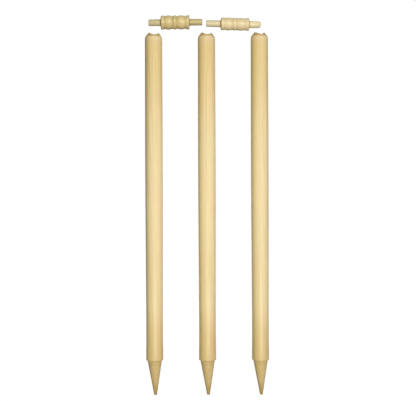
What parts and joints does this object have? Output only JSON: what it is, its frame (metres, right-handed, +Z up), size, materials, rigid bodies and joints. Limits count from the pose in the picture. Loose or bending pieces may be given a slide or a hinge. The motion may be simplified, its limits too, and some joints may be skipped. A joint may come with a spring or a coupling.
{
  "type": "cricket stumps",
  "caption": "Turned wooden cricket stumps with ground spikes and bevelled, grooved crowns, and loose turned bails that lie across the tops.",
  "frame": {"origin": "on the middle stump's axis at ground level, in the plane of the shoulders that stop the stumps in the turf; the spikes reach below it", "axes": "+Z up along the stumps, +X along the wicket to the right as seen from the front, the front looks towards -Y"},
  "size_m": [0.2682, 0.0384, 0.8252],
  "materials": {
    "stump_wood": "satin, oiled pale wood with fine long grain",
    "bail_wood": "satin, oiled pale wood, fine turned texture"
  },
  "bodies": {
    "stump_middle": {"stump_middle": "stump_wood"},
    "stump_left": {"stump_left": "stump_wood"},
    "stump_right": {"stump_right": "stump_wood"},
    "bail_left": {"bail_left": "bail_wood"},
    "bail_right": {"bail_right": "bail_wood"}
  },
  "joints": [
    {"name": "stump_left_turn", "type": "hinge", "parent": "stump_middle", "child": "stump_left", "pos_m": [-0.115, 0, 0], "axis": [0, 0, 1], "continuous": true},
    {"name": "stump_right_turn", "type": "hinge", "parent": "stump_middle", "child": "stump_right", "pos_m": [0.115, 0, 0], "axis": [0, 0, 1], "continuous": true},
    {"name": "bail_left_lift", "type": "slide", "parent": "stump_middle", "child": "bail_left", "axis": [0, 0, 1], "range_m": [-0.0145, 0.015]},
    {"name": "bail_right_lift", "type": "slide", "parent": "stump_middle", "child": "bail_right", "axis": [0, 0, 1], "range_m": [-0.0094, 0.015]}
  ]
}
